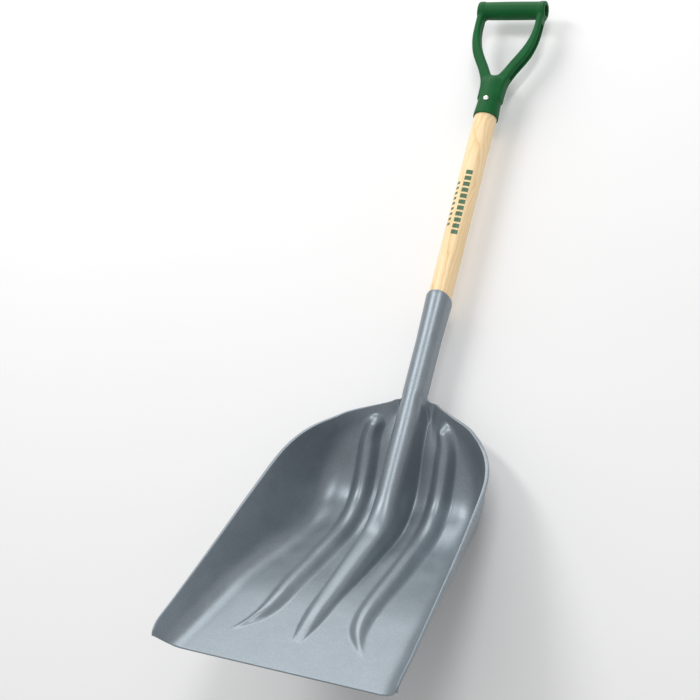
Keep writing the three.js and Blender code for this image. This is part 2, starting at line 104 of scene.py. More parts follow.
def to_row(points):
    """Points in (u, s, n) millimetres as metres in the row frame."""
    points = np.asarray(points, float)
    return (points + np.array([0.0, SHIFT_S, AXIS_N])) / 1000


# ---- helpers ------------------------------------------------------------------------------

def bell():
    """Nine offsets from -2 to 2 and their weights under a bell curve, which add up to 1."""
    offsets = np.linspace(-2, 2, 9)
    weights = np.exp(-offsets**2 / 2)
    weights /= weights.sum()
    return offsets, weights


def track(stations, values, blur=0.0):
    """A shape-preserving cubic through stations, flat beyond both ends, optionally blurred."""
    x = np.asarray(stations, float)
    y = np.asarray(values, float)
    h = np.diff(x)
    d = np.diff(y) / h
    m = np.concatenate([[d[0]], np.zeros(len(x) - 2), [d[-1]]])
    for i in range(1, len(x) - 1):
        if d[i - 1] * d[i] > 0:
            a = 2 * h[i] + h[i - 1]
            b = h[i] + 2 * h[i - 1]
            m[i] = (a + b) / (a / d[i - 1] + b / d[i])

    def at(q):
        q = np.clip(np.asarray(q, float), x[0], x[-1])
        i = np.clip(np.searchsorted(x, q, "right") - 1, 0, len(h) - 1)
        t = (q - x[i]) / h[i]
        return ((2 * t**3 - 3 * t**2 + 1) * y[i] + (t**3 - 2 * t**2 + t) * h[i] * m[i]
                + (3 * t**2 - 2 * t**3) * y[i + 1] + (t**3 - t**2) * h[i] * m[i + 1])

    if not blur:
        return at
    offsets, weights = bell()

    def blurred(q):
        q = np.asarray(q, float)
        room = np.minimum(blur, np.minimum(np.abs(q - x[0]), np.abs(x[-1] - q)) / 2)
        return sum(w * at(q + o * room) for w, o in zip(weights, offsets))

    return blurred


def fuse(a, b, k):
    """The smaller of a and b, rounded over where they meet."""
    h = np.clip(0.5 + 0.5 * (b - a) / k, 0, 1)
    return mix(b, a, h) - k * h * (1 - h)


def smooth(x):
    x = np.clip(x, 0, 1)
    return x * x * (3 - 2 * x)


def mix(a, b, t):
    return a + (b - a) * t


def add_piece(name, points, faces, slot, replaces, material):
    """A smooth-shaded mesh piece from (u, s, n) points, riding on the one body."""
    mesh = bpy.data.meshes.new(name)
    mesh.from_pydata([tuple(p) for p in to_row(points)], [], faces)
    mesh.validate()
    mesh.shade_smooth()
    mesh.materials.append(material)
    piece = bpy.data.objects.new(name, mesh)
    bpy.context.scene.collection.objects.link(piece)
    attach(piece, "root")
    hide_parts(replaces)
    return piece


def turned(profile, segments, axis, centre):
    """A closed body turned from a [radius, along] profile that starts and ends on the axis."""
    centre = np.asarray(centre, float)
    angles = np.arange(segments) * 2 * math.pi / segments
    points = []
    rings = []
    for radius, along in profile:
        count = 1 if radius < 1e-6 else segments
        rings.append(list(range(len(points), len(points) + count)))
        for angle in angles[:count]:
            a, b = radius * math.cos(angle), radius * math.sin(angle)
            offset = {"s": (a, along, b), "n": (a, b, along), "u": (along, a, b)}[axis]
            points.append(centre + np.array(offset))
    faces = []
    for low, high in zip(rings, rings[1:]):
        for j in range(segments):
            k = (j + 1) % segments
            quad = [low[j % len(low)], low[k % len(low)], high[k % len(high)], high[j % len(high)]]
            face = list(dict.fromkeys(quad))
            if len(face) > 2:
                faces.append(face if axis != "n" else face[::-1])
    return np.array(points), [f[::-1] if axis == "u" else f for f in faces]


# ---- scoop blade --------------------------------------------------------------------------

PAN_U = math.cos(PAN_TILT)
PAN_N = math.sin(PAN_TILT)
BEND_TANGENT = BEND_R * math.tan(PAN_TILT / 2)
PAN_CORNER = (FRONT_N - BACK_N) / PAN_N
BEND_START = PAN_CORNER - BEND_TANGENT
BEND_END = BEND_START + BEND_R * PAN_TILT
BACK_START_S = FRONT_S + PAN_CORNER * PAN_U + BEND_TANGENT
REAR_END_P = BEND_END + SOCKET_END_S - BACK_START_S


def pan_point(v, w):
    """A point along the pan (v) and square to it (w), as s and n."""
    return FRONT_S + PAN_U * v + PAN_N * w, FRONT_N - PAN_N * v + PAN_U * w


def sharp_floor_line(p):
    """Pan, bend and back slope by unrolled length p: position s, n and normal s, n."""
    p = np.asarray(p, float)
    left = PAN_TILT - np.clip(p - BEND_START, 0, BEND_R * PAN_TILT) / BEND_R
    s = BACK_START_S - BEND_R * np.sin(left)
    n = BACK_N + BEND_R * (1 - np.cos(left))
    before = np.minimum(p - BEND_START, 0)
    after = np.maximum(p - BEND_END, 0)
    return s + before * PAN_U + after, n - before * PAN_N, np.sin(left), np.cos(left)


# These depths were chosen by hand from a scratch program's estimates, which differed by several
# millimetres. They are least certain behind 330, where the bowl is deepest.
bowl_depth = track([0, 140, 180, 210, 240, 270, 300, 330, 360, 390, 420, 450, 480, 510, 530],
                   [0, 0, 3, 7, 11, 14, 17, 20, 23, 25, 22, 15, 6, 1, 0], blur=10)


def floor_line(p):
    """The blade's floor: that line eased through the bend, and the bowl's depth below it."""
    p = np.asarray(p, float)
    offsets, weights = bell()
    s, n, ns, nn = (sum(w * value for w, value in zip(weights, values)) for values in zip(
        *(sharp_floor_line(p + o * BEND_EASE) for o in offsets)))
    length = np.hypot(ns, nn)
    ns, nn = ns / length, nn / length
    depth = bowl_depth(p)
    return s - ns * depth, n - nn * depth, ns, nn


# Not design points. The stations and values of rim_height and rim_half are the rounded output of
# scratch programs that fitted the rim's outline, eased by hand. They should be redrawn with few
# points, arcs and formulas. The tables of the heel and ribs further down were led by such output.
rim_height = track(
    [-11, -9, -4, 3, 14, 41, 79, 120, 161, 201, 242, 286, 329, 353, 377, 402, 412, 425, 438, 453, 462, 468,
     471.5, 478, 483, 491, 497, 504, 508, 511, 514, 516],
    [22, 26, 30, 32.5, 34.5, 37.5, 43.5, 50, 57, 64, 71.5, 80, 89, 94, 99.5, 105.5, 107.5, 110, 111,
     112, 114.5, 116.5, 118, 119.5, 120, 120.3, 120.6, 120.8, 121.5, 124, 130, 138], blur=5)
rim_half = track(
    [-11, 3, 14, 79, 161, 242, 286, 329, 353, 377, 402, 412, 425, 438, 453, 462, 468, 471.5, 478, 483,
     491, 497, 504, 508, 511, 514, 516],
    [181, 182.6, 182.8, 181.3, 179.3, 177.3, 175.3, 172.8, 170.3, 165, 155, 149.5, 140.5, 131, 118,
     109, 100, 92, 79.5, 71, 59.5, 50, 40, 35, 30, 25.5, 22], blur=5)

ROW = [0, 4, 79, 161, 242, 280, 310, 340, 375, 411, 428, 446, 468, 481, 490, 502, 516, 537, REAR_END_P]
row_centre = track(
    ROW, [0, 4, 79, 161, 242, 280, 310, 340, 373, 403, 414, 426, 440, 450, 460, 474, 496, 527, REAR_END_P],
    blur=5)
row_rim = track(
    [FRONT_P, 5, 11, 22, *ROW[2:]],
    [-11, -6.5, 2, 20, 79, 161, 242, 280, 306, 329, 341, 353, 377, 401.5, 432, 456, 470, 483, 498, 510, 516],
    blur=5)
heel_half = track(
    ROW, [163, 162.5, 157, 152.5, 144, 140, 137, 135, 134, 133, 131, 125, 110, 96, 80, 55, 38, 28, 21],
    blur=6)
floor_fillet = track(ROW, [18, 18, 21, 25, 30, 32, 34, 35, 36, 36, 36, 35, 33, 31, 29, 25, 12, 4, 2], blur=6)
wall_fillet = track(ROW, [14, 18, 21, 25, 30, 32, 34, 35, 36, 36, 36, 34, 32, 28, 24, 21, 16, 6, 2], blur=6)
lip_width = track([0, 60, 200, 300, 560], [3.6, 4.2, 5.2, 6.0, 6.0], blur=6)

RIB_P = [60, 75, 100, 130, 170, 230, 290, 340, 380, 411]
rib_rise = track(RIB_P, [0, 3, 8, 11, 12, 13.5, 14, 14, 14, 14], blur=6)
rib_foot = track(RIB_P, [11, 13, 17, 20, 21, 23, 25, 26, 26, 26], blur=6)
rib_flank = track(RIB_P, [6, 8, 11, 13, 14.5, 16, 17.5, 19, 20, SOCKET_R], blur=6)
rib_steep = track(RIB_P, [35, 42, 48, 50, 52, 56, 64, 75, 85, 90], blur=6)

SIDE_P = [58, 75, 90, 106, 137, 180, 240, 326, 420]
side_centre = track(SIDE_P, [98, 86, 77, 71, 67, 66.5, 66, 65, 65], blur=6)
side_half = track(SIDE_P, [2, 6, 11, 14, 17, 19, 20.5, 21, 20], blur=6)
side_height = track(SIDE_P, [0, 3, 6.5, 9, 11, 12, 13.5, 15, 16], blur=6)

RIB_COLUMNS = 24
PATH_COLUMNS = 66


def rib_height(p):
    """Crown of the centre rib over the pan; further back it follows the top of the socket."""
    _, n, _, nn = floor_line(p)
    low = rib_rise(p)
    high = (SOCKET_R - (n + nn * bowl_depth(p))) / nn
    return -fuse(-low, -high, CROWN_BLEND)


def side_rib(p, u):
    """Height of a side rib over the floor at the unrolled place p, u."""
    along = np.maximum(0, p - RIB_REAR_P)
    off = np.hypot(u - side_centre(p), along) / side_half(p)
    lift = side_height(p) * np.cos(np.clip(off, 0, 1) ** SIDE_FULLNESS * math.pi / 2) ** 2
    return np.where(p < SIDE_P[0], 0, lift)


def rib_section(p, t, inset, fill):
    """The centre rib's half section as (u, height), crown to foot as t goes from 0 to 1."""
    depth = float(bowl_depth(p))
    h = (float(rib_height(p)) + depth) * (1 - fill)
    foot = float(rib_foot(p))
    flank = float(rib_flank(p)) - inset
    steep = math.radians(float(rib_steep(p)))
    mid = (float(rib_height(p)) * 0.487 + depth) * (1 - fill)
    upper = CIRCLE_HANDLE * (h - mid)
    lower = 0.55 * mid
    crown = np.array([[0, h], [CIRCLE_HANDLE * flank, h],
                      [flank - upper * math.cos(steep), mid + upper * math.sin(steep)], [flank, mid]])
    base = np.array([[flank, mid], [flank + lower * math.cos(steep), mid - lower * math.sin(steep)],
                     [mix(foot, flank, 0.55), 0], [foot, 0]])
    split = 0.62
    k = np.where(t < split, t / split, (t - split) / (1 - split))
    weights = np.stack([(1 - k) ** 3, 3 * k * (1 - k) ** 2, 3 * k * k * (1 - k), k**3], 1)
    return np.where((t < split)[:, None], weights @ crown, weights @ base)


def cross_row(row):
    """One cross row of the blade's inside, without its side ribs."""
    centre_p = float(row_centre(row))
    heel_u = float(heel_half(row))
    rim_v = float(row_rim(row))
    foot = float(rib_foot(centre_p))
    cs, cn, ns, nn = (float(x) for x in floor_line(centre_p))

    def on_floor(p, u):
        s, n, _, _ = floor_line(p)
        return np.stack([np.broadcast_to(u, np.shape(s)), s, n], -1)

    def rim_at(v):
        s, n = pan_point(v, float(rim_height(v)))
        return np.array([float(rim_half(v)), s, n])

    rim = rim_at(rim_v)
    along = rim_at(rim_v + 1) - rim_at(rim_v - 1)
    heel = on_floor(row, heel_u)
    up = rim - heel
    up /= np.linalg.norm(up)
    out = np.cross(along, up)
    out /= np.linalg.norm(out)
    lip = float(lip_width(row))
    inner = rim - out * lip
    wall_up = inner - heel
    wall_length = float(np.linalg.norm(wall_up))
    wall_up /= wall_length

    run = math.hypot(row - centre_p, heel_u - foot)
    flat = max(1.0, run - float(floor_fillet(row)))
    rise = min(float(wall_fillet(row)), wall_length * 0.8)

    def at(x):
        return centre_p + (row - centre_p) * x / run, foot + (heel_u - foot) * x / run

    x = np.linspace(0, run + wall_length - 1.2, PATH_COLUMNS)
    p, u = at(x)
    path = on_floor(p, u)
    start = on_floor(*at(flat))
    end = heel + wall_up * rise
    k = ((x - flat) / (run + rise - flat))[:, None]
    curve = start * (1 - k) ** 2 + heel * 2 * k * (1 - k) + end * k**2
    wall = heel + wall_up * (x - run)[:, None]
    path = np.where((x > flat)[:, None], curve, path)
    path = np.where((x > run + rise)[:, None], wall, path)

    t = np.linspace(0, 1, RIB_COLUMNS, endpoint=False)
    section = rib_section(centre_p, t, 0, 0)
    crown = np.stack([section[:, 0], cs + section[:, 1] * ns, cn + section[:, 1] * nn], 1)

    fill = float(smooth((centre_p - RIB_FILL_P) / RIB_FILL_RUN))
    inside = rib_section(centre_p, t, WALL * (1 - fill), fill)
    level = inside[:, 1] - WALL
    under = np.stack([inside[:, 0], cs + level * ns, cn + level * nn], 1)
    return {
        "front": np.concatenate([crown, path]),
        "p": np.concatenate([np.full(RIB_COLUMNS, centre_p), p]),
        "u": np.concatenate([section[:, 0], u]),
        "under": under,
        "inner": inner,
        "out": out,
        "up": wall_up,
        "lip": lip,
    }


def grid_normals(grid):
    across = np.gradient(grid, axis=1)
    across[:, 0, 1:] = 0
    along = np.gradient(grid, axis=0)
    normals = np.cross(across, along)
    return normals / np.linalg.norm(normals, axis=2, keepdims=True)


def arc(centre, radius, start, end, count):
    """Points on an arc, angles in degrees."""
    angles = np.radians(np.linspace(start, end, count))
    return [(centre[0] + radius * math.cos(a), centre[1] + radius * math.sin(a)) for a in angles]


def lip_section(width):
    """The rolled rim as (outward, upward) points, from its inner edge over the top to its underside."""
    round_r, depth = 1.15, 3.4
    shelf = max(width - WALL, 0.35)
    return (arc((round_r, -round_r), round_r, 180, 90, 4)[1:]
            + arc((width - round_r, -round_r), round_r, 90, 0, 5)
            + arc((width - 0.6, -depth + 0.6), 0.6, 0, -90, 3)
            + [(width - shelf * 0.55, -depth), (WALL, -depth - 0.5)])


def socket_radius(s):
    return mix(SOCKET_R, SOCKET_R_MOUTH, np.clip((s - SOCKET_NECK_S) / (MOUTH_S - SOCKET_NECK_S), 0, 1))


def blade_stations():
    spans = [
        (FRONT_P, FRONT_P + 1.2, 4), (FRONT_P + 1.2, 8, 4), (8, 50, 12), (50, 140, 36), (140, BEND_START, 44),
        (BEND_START, BEND_END, 34), (BEND_END, 530, 48), (530, REAR_END_P, 20),
    ]
    rows = [np.linspace(a, b, count, endpoint=False) for a, b, count in spans]
    return np.concatenate(rows + [[REAR_END_P]])


def scoop_blade_mesh():
    stations = blade_stations()
    rows = [cross_row(row) for row in stations]
    base = np.array([r["front"] for r in rows])
    p = np.array([r["p"] for r in rows])
    u = np.array([r["u"] for r in rows])
    lift = side_rib(p, u)
    lift[:, :RIB_COLUMNS] = 0
    front = base + grid_normals(base) * lift[..., None]
    normals = grid_normals(front)
    back = front - normals * WALL
    back[:, :RIB_COLUMNS] = np.array([r["under"] for r in rows])

    # The front edge is rounded: both faces draw together over the first rows.
    round_r = WALL / 2 - 0.2
    near = np.clip(round_r - (stations - FRONT_P), 0, round_r)
    pinch = round_r - np.sqrt(round_r**2 - near**2)
    front -= normals * pinch[:, None, None]
    back += normals * pinch[:, None, None]

    loops = []
    for i, r in enumerate(rows):
        lip = [r["inner"] + r["out"] * a + r["up"] * b for a, b in lip_section(r["lip"])]
        low = back[i, -1] - r["up"] * 3.0
        side = back[i].copy()
        side[-1] = low
        loops.append(np.concatenate([front[i], lip, side[::-1]]))
    half = len(loops[0])
    columns = front.shape[1]

    # Angles that carry the blade's columns over to the round socket.
    step = np.arange(half)
    mirrored = np.where(step < half / 2, step, half - 1 - step)
    rest = (half - 1) / 2 - RIB_COLUMNS
    angle = np.where(mirrored < RIB_COLUMNS, 70 * mirrored / RIB_COLUMNS,
                     70 + 20 * (mirrored - RIB_COLUMNS) / rest)
    angle = np.radians(np.where(step < half / 2, angle, 180 - angle))
    even = np.linspace(0, math.pi, half)

    def ring(s, r, spread, slant):
        a = mix(angle, even, spread)
        n = r * np.cos(a)
        return np.stack([r * np.sin(a), s + MOUTH_SLANT * slant * (n - SOCKET_R_MOUTH), n], 1)

    for i, station in enumerate(stations):
        k = float(smooth((station - MORPH_START_P) / (REAR_END_P - MORPH_START_P)))
        if k > 0:
            s = float(floor_line(station)[0])
            loops[i] = mix(loops[i], ring(s, SOCKET_R, 0, 0), k)
    for s in np.linspace(SOCKET_END_S, SOCKET_COLLAR_S, 34)[1:]:
        spread = float(smooth((s - SOCKET_END_S) / 40))
        slant = float(smooth((s + 250) / 80)) * 0.5
        loops.append(ring(s, float(socket_radius(s)), spread, slant))
    for k in np.linspace(0, 1, 8)[1:]:
        s = mix(SOCKET_COLLAR_S, MOUTH_S - 1.0, k)
        slant = mix(float(smooth((SOCKET_COLLAR_S + 250) / 80)) * 0.5, 1, k)
        loops.append(ring(s, float(socket_radius(s)), 1, slant))
    for a in np.radians([30, 60, 90]):
        radius = SOCKET_R_MOUTH - MOUTH_EDGE_R * (1 - math.cos(a))
        loops.append(ring(MOUTH_S - 1.0 + math.sin(a), radius, 1, 1))
    for a in np.radians([0, 45, 90]):
        radius = SHAFT_R + FIT + BORE_EDGE_R * (1 - math.sin(a))
        loops.append(ring(MOUTH_S - BORE_EDGE_R * (1 - math.cos(a)), radius, 1, 1))
    loops.append(ring(SHAFT_TAPER_S, SHAFT_R + FIT, 1, 0))
    loops.append(ring(SOCKET_NECK_S, BORE_R_NECK + FIT, 1, 0))
    loops.append(ring(BORE_BOTTOM_S, BORE_R_BOTTOM + FIT, 1, 0))

    around = 2 * half - 2
    loops = np.array(loops)
    loops[:, 0, 0] = 0
    loops[:, -1, 0] = 0
    other = loops[:, -2:0:-1].copy()
    other[..., 0] *= -1
    points = np.concatenate([loops, other], 1).reshape(-1, 3)

    def index(i, j):
        return i * around + j % around

    faces = []
    for i in range(len(loops) - 1):
        k = i + 1
        faces += [(index(i, j), index(i, j + 1), index(k, j + 1), index(k, j)) for j in range(around)]
    last = half - 1
    for j in range(columns - 1):
        faces.append((index(0, j), index(0, last - j), index(0, last - j - 1), index(0, j + 1)))
        faces.append((index(0, -j), index(0, -j - 1), index(0, last + j + 1), index(0, last + j)))
    rim_columns = list(range(columns - 1, half - columns + 1))
    faces.append([index(0, j) for j in rim_columns][::-1])
    faces.append([index(0, -j) for j in rim_columns])
    faces.append([index(len(loops) - 1, j) for j in range(around)])
    return points, faces


# ---- D-grip -------------------------------------------------------------------------------

# Not design points either. The arms' outlines follow a scratch program's samples, a step of about
# 12 mm apart, with left and right averaged and adjusted by hand.
ARM_OUTER = [
    (19.4, 200), (19.6, 210), (20.3, 220), (22.2, 232), (26.4, 244), (31.8, 256), (38.5, 268), (45.2, 280),
    (50.8, 292), (54.8, 305), (57.4, 317), (58.8, 329), (59.4, 345), (59.7, 362), (59.7, 381),
]
ARM_INNER = [
    (0, 244.8), (5, 245.5), (10, 251), (16.5, 262.5), (23, 275), (30, 287), (36.5, 299), (42, 312),
    (45.4, 324), (47.6, 336), (48.4, 347), (48.4, 378),
]
VOXEL = 0.8
ARM_HALF_DEPTH = 11.2
ARM_EDGE_R = 4.5
BARREL_R = 15.7                     # the bar's radius at its middle
BOSS_R = 16.2                       # and at its two ends
BOSS_INNER_U = 49.2
CORE_R = 9.8                        # the hollow in each end of the bar
CORE_INNER_U = 51.5
BORE_END_S = 232.0


def polygon_distance(x, y, outline):
    """Signed distance to a closed outline, negative inside."""
    outline = np.asarray(outline, float)
    best = np.full(x.shape, 1e9)
    inside = np.zeros(x.shape, bool)
    for (ax, ay), (bx, by) in zip(outline, np.roll(outline, -1, 0)):
        dx, dy = bx - ax, by - ay
        t = np.clip(((x - ax) * dx + (y - ay) * dy) / max(dx * dx + dy * dy, 1e-9), 0, 1)
        best = np.minimum(best, np.hypot(x - ax - t * dx, y - ay - t * dy))
        crosses = ((ay > y) != (by > y)) & (x < ax + (y - ay) * dx / (dy if dy else 1e-9))
        inside ^= crosses
    return np.where(inside, -best, best)


def carve(a, b, k):
    """a with b cut out of it, the edge rounded by k."""
    return -fuse(-a, b, k)


def outline(half):
    right = np.array(half, float)
    s = np.linspace(right[0, 1], right[-1, 1], 90)
    u = track(right[:, 1], right[:, 0], blur=4)(s)
    right = np.stack([u, s], 1)
    left = right[::-1] * [-1, 1]
    return np.concatenate([right, left])


def capped(radial, along_low, along_high, coordinate, round_r):
    """A turned shape's distance with its two ends cut square and rounded by round_r."""
    ends = np.maximum(along_low - coordinate, coordinate - along_high)
    a, b = radial + round_r, ends + round_r
    return np.hypot(np.maximum(a, 0), np.maximum(b, 0)) + np.minimum(np.maximum(a, b), 0) - round_r


def d_grip_mesh():
    u = np.arange(-66, 66.01, VOXEL)
    s = np.arange(160, 402.01, VOXEL)
    n = np.arange(-25.6, 25.61, VOXEL)
    plane_u, plane_s = np.meshgrid(u, s, indexing="ij")
    outer = polygon_distance(plane_u, plane_s, outline(ARM_OUTER))
    opening = polygon_distance(plane_u, plane_s, outline(ARM_INNER))
    U, S, N = (a.astype(np.float32) for a in np.meshgrid(u, s, n, indexing="ij"))
    outer = outer[..., None].astype(np.float32)
    opening = opening[..., None].astype(np.float32)

    yoke = capped(np.maximum(outer, -opening), -ARM_HALF_DEPTH, ARM_HALF_DEPTH, N, ARM_EDGE_R)
    channel = np.maximum(np.maximum(-outer - 3.4, np.abs(N) - 5.0), np.maximum(243 - S, S - 352))
    yoke = carve(yoke, channel, 1.6)

    radius = track([160, 166, 172, 192, 205, 214, 226, 234, 240, 243.5],
                   [21.2, 21.3, 21.1, 19.9, 19.4, 19.2, 18.7, 17.5, 13.5, 4])
    r = np.hypot(U, N)
    socket = capped((r - radius(S[0, :, 0])[None, :, None]) * 0.9, GRIP_MOUTH_S, 243.2, S, 1.0)
    body = fuse(yoke, socket.astype(np.float32), 7.0)

    bar_r = np.hypot(S - GRIP_BAR_S, N)
    barrel = BARREL_R - 0.35 * (U / 48) ** 2
    bar = capped(bar_r - barrel, -GRIP_HALF, GRIP_HALF, U, 2.0)
    boss = capped(bar_r - BOSS_R, BOSS_INNER_U, GRIP_HALF, np.abs(U), 2.4)
    body = fuse(body, bar, 5.0)
    body = fuse(body, boss, 2.0)
    core = np.maximum(bar_r - CORE_R - 0.06 * (np.abs(U) - CORE_INNER_U), CORE_INNER_U - np.abs(U))
    body = carve(body, core, 1.2)

    bore_r = track([160, 168, 192, BORE_END_S], [19.3, 19.3, 17.4, 15.9])
    bore = np.maximum(r - bore_r(S[0, :, 0])[None, :, None], S - BORE_END_S)
    body = carve(body, bore, 0.6)
    pin_r = np.hypot(U, S - RIVET_S)
    body = carve(body, pin_r - RIVET_SHANK_R - FIT, 0.3)
    body = carve(body, np.maximum(pin_r - RIVET_HEAD_R - 0.6, 19.2 - N), 0.5)
    body = carve(body, np.maximum(pin_r - 6.1, N + 19.2), 0.5)

    field = openvdb.FloatGrid(10.0)
    field.copyFromArray(np.ascontiguousarray(body, dtype=np.float32))
    points, quads = field.convertToQuads(isovalue=0.0)
    origin = np.array([u[0], s[0], n[0]])
    return points.astype(float) * VOXEL + origin, quads[:, ::-1].tolist()


# ---- shaft and fasteners ------------------------------------------------------------------

def shaft_mesh():
    profile = [(0, SHAFT_BOTTOM_S), (BORE_R_BOTTOM - 1, SHAFT_BOTTOM_S), (BORE_R_BOTTOM, BORE_BOTTOM_S + 3),
               (BORE_R_NECK, SOCKET_NECK_S), (SHAFT_R - 0.1, SHAFT_TAPER_S - 1), (SHAFT_R, SHAFT_TAPER_S + 4)]
    profile += [(SHAFT_R, s) for s in np.linspace(-170, 160, 34)]
    profile += [(SHAFT_R, 166), (SHAFT_R - 0.1, 169), (17.1, 192), (15.6, SHAFT_TOP_S - 1),
                (14.6, SHAFT_TOP_S), (0, SHAFT_TOP_S)]
    return turned(profile, 128, "s", (0, 0, 0))


def rivet_mesh():
    over_dome = np.radians(np.linspace(0, 90, 12))
    over_tail = np.radians(np.linspace(0, 90, 9))
    dome = [(RIVET_HEAD_R * math.cos(a), 19.9 + 2.4 * math.sin(a)) for a in over_dome]
    tail = [(3.8 * math.sin(a), -20.8 - 1.05 * math.cos(a)) for a in over_tail]
    profile = tail + [(RIVET_SHANK_R, -20.8), (RIVET_SHANK_R, 19.5), (RIVET_HEAD_R - 0.25, 19.5)] + dome
    profile[0] = (0, profile[0][1])
    profile[-1] = (0, profile[-1][1])
    return turned(profile, 48, "n", (0, RIVET_S, 0))


def washer_mesh():
    low, high = -20.5, -19.5
    inner, outer = RIVET_SHANK_R + FIT, 5.5
    ring = [(inner + 0.15, low), (outer - 0.2, low), (outer, low + 0.2), (outer, high - 0.2),
            (outer - 0.2, high), (inner + 0.15, high), (inner, high - 0.15), (inner, low + 0.15)]
    segments = 48
    points, faces = [], []
    for i in range(segments):
        a = 2 * math.pi * i / segments
        points += [(r * math.cos(a), RIVET_S + r * math.sin(a), n) for r, n in ring]
    count = len(ring)
    for i in range(segments):
        k = (i + 1) % segments
        faces += [(i * count + j, i * count + (j + 1) % count, k * count + (j + 1) % count, k * count + j)
                  for j in range(count)]
    return points, [f[::-1] for f in faces]


def screw_mesh():
    face = -(float(socket_radius(SCREW_S)) - 0.25)
    head = [(0, face + 1.2), (1.1, face + 1.0), (1.5, face), (3.8, face), (4, face + 0.2)]
    shank = [(2.1, face + 2.3), (2.1, face + 15), (0, face + 18)]
    profile = head + shank
    return turned(profile, 40, "n", (0, SCREW_S, 0))


# ---- materials ----------------------------------------------------------------------------

class Shader:
    """A principled material with a few short ways to add nodes."""

    def __init__(self, name):
        self.material = bpy.data.materials.new(name)
        self.material.use_nodes = True
        self.tree = self.material.node_tree
        self.bsdf = self.tree.nodes["Principled BSDF"]
        self.place = self.node("ShaderNodeTexCoord").outputs["Object"]

    def node(self, kind, inputs=None, **settings):
        made = self.tree.nodes.new(kind)
        for key, value in settings.items():
            setattr(made, key, value)
        for key, value in (inputs or {}).items():
            socket = made.inputs[key]
            if isinstance(value, bpy.types.NodeSocket):
                self.tree.links.new(value, socket)
            else:
                socket.default_value = value
        return made

    def set(self, **values):
        for key, value in values.items():
            self.bsdf.inputs[key.replace("_", " ")].default_value = value

    def link(self, output, socket_name):
        self.tree.links.new(output, self.bsdf.inputs[socket_name])

    def stretched(self, x, y, z):
        return self.node("ShaderNodeMapping", {"Vector": self.place, "Scale": (x, y, z)}).outputs["Vector"]

    def noise(self, scale, detail=2.0, roughness=0.5, vector=None):
        return self.node("ShaderNodeTexNoise", {
            "Vector": vector or self.place, "Scale": scale, "Detail": detail, "Roughness": roughness,
        }).outputs["Fac"]

    def math(self, operation, a, b=None, c=None, clamp=False):
        made = self.node("ShaderNodeMath", operation=operation, use_clamp=clamp)
        for socket, value in zip(made.inputs, (a, b, c)):
            if isinstance(value, bpy.types.NodeSocket):
                self.tree.links.new(value, socket)
            elif value is not None:
                socket.default_value = value
        return made.outputs[0]

    def remap(self, value, low, high, to_low, to_high):
        return self.node("ShaderNodeMapRange", {
            "Value": value, "From Min": low, "From Max": high, "To Min": to_low, "To Max": to_high,
        }).outputs["Result"]

    def ramp(self, value, stops):
        made = self.node("ShaderNodeValToRGB", {"Fac": value})
        band = made.color_ramp
        while len(band.elements) < len(stops):
            band.elements.new(0.5)
        for element, (position, colour) in zip(band.elements, stops):
            element.position = position
            element.color = (*colour, 1)
        return made.outputs["Color"]

    def blend(self, factor, a, b, mode="MIX"):
        made = self.node("ShaderNodeMix", data_type="RGBA", blend_type=mode)
        for socket, value in ((made.inputs["Factor"], factor), (made.inputs[6], a), (made.inputs[7], b)):
            if isinstance(value, bpy.types.NodeSocket):
                self.tree.links.new(value, socket)
            elif isinstance(value, (float, int)):
                socket.default_value = value
            else:
                socket.default_value = (*value, 1)
        return made.outputs[2]

    def bump(self, height, strength, distance, below=None):
        inputs = {"Height": height, "Strength": strength, "Distance": distance}
        if below is not None:
            inputs["Normal"] = below
        return self.node("ShaderNodeBump", inputs).outputs["Normal"]


def silver_plastic():
    """Satin grey moulded plastic with fine metallic flake."""
    m = Shader("silver_flake_plastic")
    flakes = m.node("ShaderNodeTexVoronoi", {"Vector": m.place, "Scale": 1300.0}).outputs["Color"]
    flake = m.node("ShaderNodeSeparateColor", {"Color": flakes}).outputs["Red"]
    clouds = m.noise(28.0, 4.0, 0.6)
    grain = m.noise(420.0, 3.0, 0.6)
    tone = m.math("ADD", m.remap(flake, 0, 1, -0.10, 0.10), m.remap(clouds, 0.3, 0.7, -0.06, 0.06))
    tone = m.math("ADD", tone, m.remap(grain, 0.3, 0.7, -0.05, 0.05))
    tone = m.math("ADD", tone, 0.5, clamp=True)
    greys = [(0.0, (0.145, 0.172, 0.195)), (0.5, (0.245, 0.285, 0.318)), (1.0, (0.40, 0.45, 0.49))]
    m.link(m.ramp(tone, greys), "Base Color")
    m.link(m.remap(clouds, 0.3, 0.7, 0.34, 0.42), "Roughness")
    peel = m.bump(m.noise(210.0, 2.0), 0.10, 0.0004)
    m.link(m.bump(flake, 0.05, 0.0002, peel), "Normal")
    m.set(Metallic=0.5, Coat_Weight=0.12, Coat_Roughness=0.28, IOR=1.5)
    return m.material


